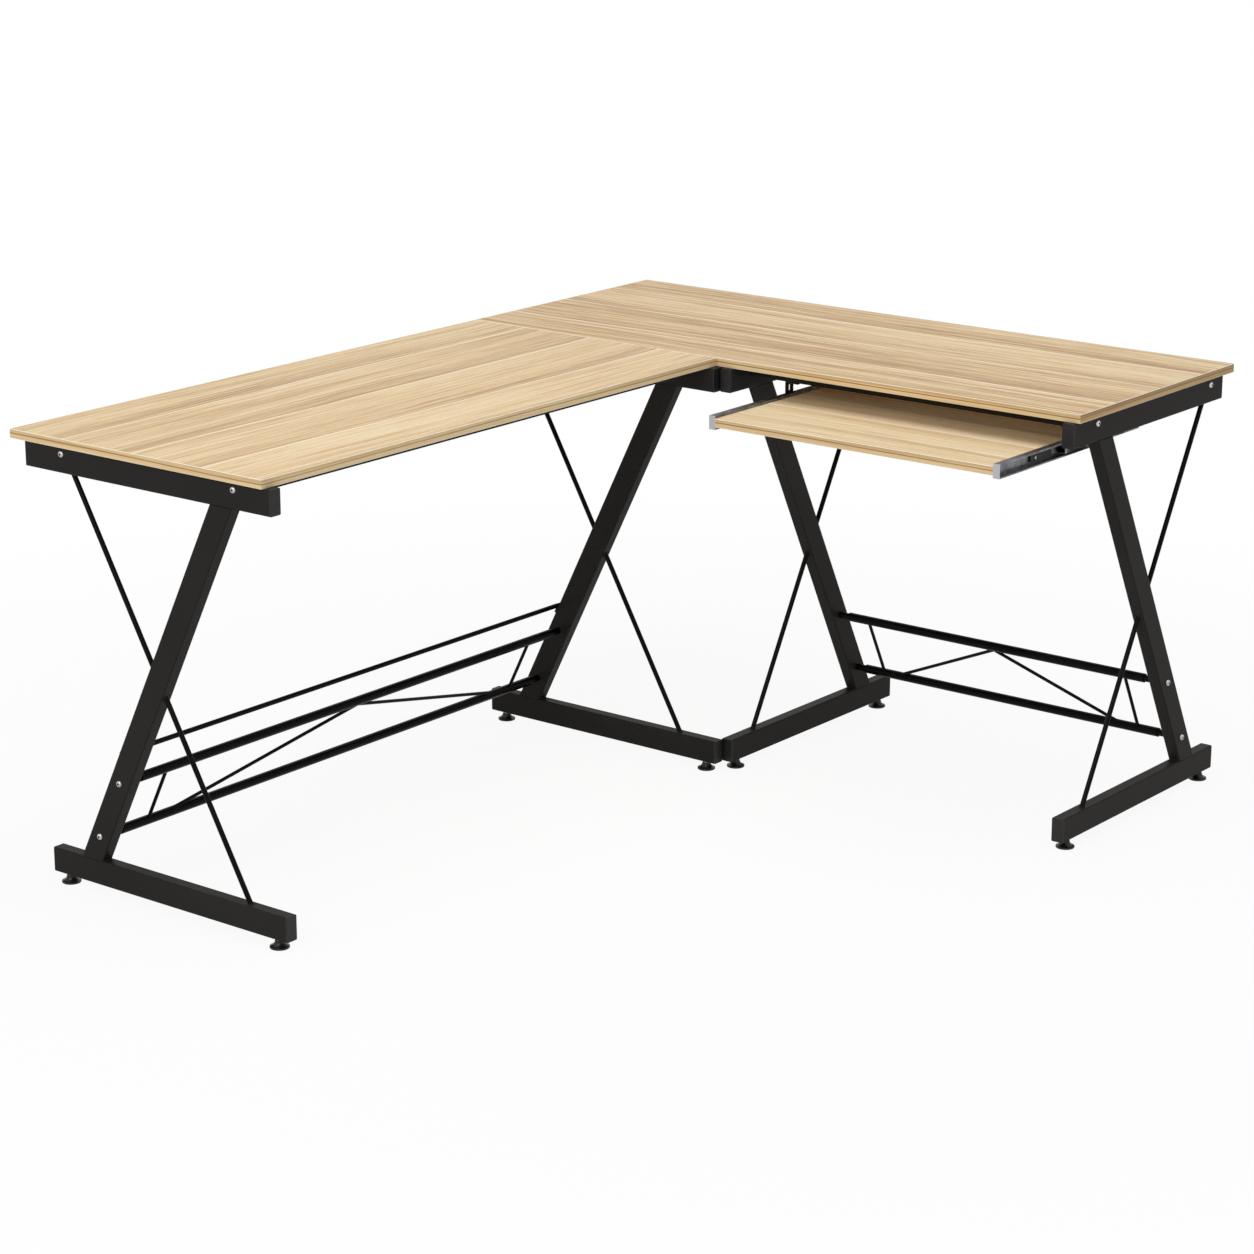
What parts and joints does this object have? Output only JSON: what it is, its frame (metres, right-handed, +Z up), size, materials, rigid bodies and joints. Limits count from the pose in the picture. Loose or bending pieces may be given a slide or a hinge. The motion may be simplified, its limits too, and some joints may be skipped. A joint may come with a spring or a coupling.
{
  "type": "corner desk",
  "caption": "L-shaped corner desk with oak-faced boards on black Z-shaped tube frames and a sliding keyboard tray.",
  "frame": {"origin": "on the floor, under the centre of the desk's outline", "axes": "+X along the right wing away from the corner, -Y along the left wing away from the corner, +Z up"},
  "size_m": [1.28, 1.64, 0.75],
  "materials": {
    "oak_board": "satin oak-grain laminate",
    "oak_edge": "satin oak-grain edge band",
    "black_steel": "satin black paint",
    "black_plastic": "moulded",
    "plated_fastener": "zinc plated",
    "zinc_slide": "zinc plated sheet",
    "white_plastic": "moulded",
    "ball_steel": "polished"
  },
  "bodies": {
    "frame": {"bar_plugs": "plated_fastener", "bracket_screws": "plated_fastener", "crossbar_screws": "plated_fastener", "foot_inserts": "plated_fastener", "frame_bolts": "plated_fastener", "left_end_brace_rods": "black_steel", "left_end_foot_rail": "black_steel", "left_end_leg": "black_steel", "left_end_top_rail": "black_steel", "left_front_crossbar": "black_steel", "left_inner_brace_rods": "black_steel", "left_inner_foot_rail": "black_steel", "left_inner_leg": "black_steel", "left_inner_top_rail": "black_steel", "left_lower_stretcher": "black_steel", "left_rear_crossbar": "black_steel", "left_rear_rod": "black_steel", "left_slide_rail": "zinc_slide", "left_top_board": "oak_board", "left_top_edge_band": "oak_edge", "left_truss_rods": "black_steel", "left_upper_stretcher": "black_steel", "rail_caps": "black_plastic", "rail_rivets": "plated_fastener", "right_end_brace_rods": "black_steel", "right_end_foot_rail": "black_steel", "right_end_leg": "black_steel", "right_end_top_rail": "black_steel", "right_front_crossbar": "black_steel", "right_inner_brace_rods": "black_steel", "right_inner_foot_rail": "black_steel", "right_inner_leg": "black_steel", "right_inner_top_rail": "black_steel", "right_lower_stretcher": "black_steel", "right_rear_crossbar": "black_steel", "right_slide_rail": "zinc_slide", "right_top_board": "oak_board", "right_top_edge_band": "oak_edge", "right_truss_rods": "black_steel", "right_upper_stretcher": "black_steel", "seam_brackets": "black_steel", "slide_hangers": "black_steel", "stretcher_plugs": "black_steel"},
    "tray": {"tray_board": "oak_board", "tray_edge_band": "oak_edge", "left_tray_channel": "zinc_slide", "right_tray_channel": "zinc_slide", "tray_screws": "plated_fastener", "tray_stops": "black_plastic", "stop_rollers": "white_plastic"},
    "cages": {"ball_cages": "black_plastic", "slide_balls": "ball_steel"},
    "left_end_front_foot_body": {"left_end_front_foot": "black_plastic"},
    "left_end_rear_foot_body": {"left_end_rear_foot": "black_plastic"},
    "left_inner_front_foot_body": {"left_inner_front_foot": "black_plastic"},
    "left_inner_rear_foot_body": {"left_inner_rear_foot": "black_plastic"},
    "right_end_front_foot_body": {"right_end_front_foot": "black_plastic"},
    "right_end_rear_foot_body": {"right_end_rear_foot": "black_plastic"},
    "right_inner_front_foot_body": {"right_inner_front_foot": "black_plastic"},
    "right_inner_rear_foot_body": {"right_inner_rear_foot": "black_plastic"}
  },
  "joints": [
    {"name": "tray_slide", "type": "slide", "parent": "frame", "child": "tray", "axis": [0, -1, 0], "range_m": [-0.196, 0.029]},
    {"name": "cage_slide", "type": "slide", "parent": "frame", "child": "cages", "axis": [0, -1, 0], "range_m": [-0.098, 0.0145]},
    {"name": "left_end_front_foot_turn", "type": "hinge", "parent": "frame", "child": "left_end_front_foot_body", "pos_m": [-0.097, -0.8035, 0], "axis": [0, 0, 1], "continuous": true},
    {"name": "left_end_rear_foot_turn", "type": "hinge", "parent": "frame", "child": "left_end_rear_foot_body", "pos_m": [-0.565, -0.8035, 0], "axis": [0, 0, 1], "continuous": true},
    {"name": "left_inner_front_foot_turn", "type": "hinge", "parent": "frame", "child": "left_inner_front_foot_body", "pos_m": [-0.097, 0.298, 0], "axis": [0, 0, 1], "continuous": true},
    {"name": "left_inner_rear_foot_turn", "type": "hinge", "parent": "frame", "child": "left_inner_rear_foot_body", "pos_m": [-0.565, 0.298, 0], "axis": [0, 0, 1], "continuous": true},
    {"name": "right_end_front_foot_turn", "type": "hinge", "parent": "frame", "child": "right_end_front_foot_body", "pos_m": [0.6235, 0.341, 0], "axis": [0, 0, 1], "continuous": true},
    {"name": "right_end_rear_foot_turn", "type": "hinge", "parent": "frame", "child": "right_end_rear_foot_body", "pos_m": [0.6235, 0.7925, 0], "axis": [0, 0, 1], "continuous": true},
    {"name": "right_inner_front_foot_turn", "type": "hinge", "parent": "frame", "child": "right_inner_front_foot_body", "pos_m": [-0.0635, 0.341, 0], "axis": [0, 0, 1], "continuous": true},
    {"name": "right_inner_rear_foot_turn", "type": "hinge", "parent": "frame", "child": "right_inner_rear_foot_body", "pos_m": [-0.0635, 0.7925, 0], "axis": [0, 0, 1], "continuous": true}
  ],
  "couplings": [
    {"joint": "cage_slide", "follows": "tray_slide", "ratio": 0.5}
  ]
}
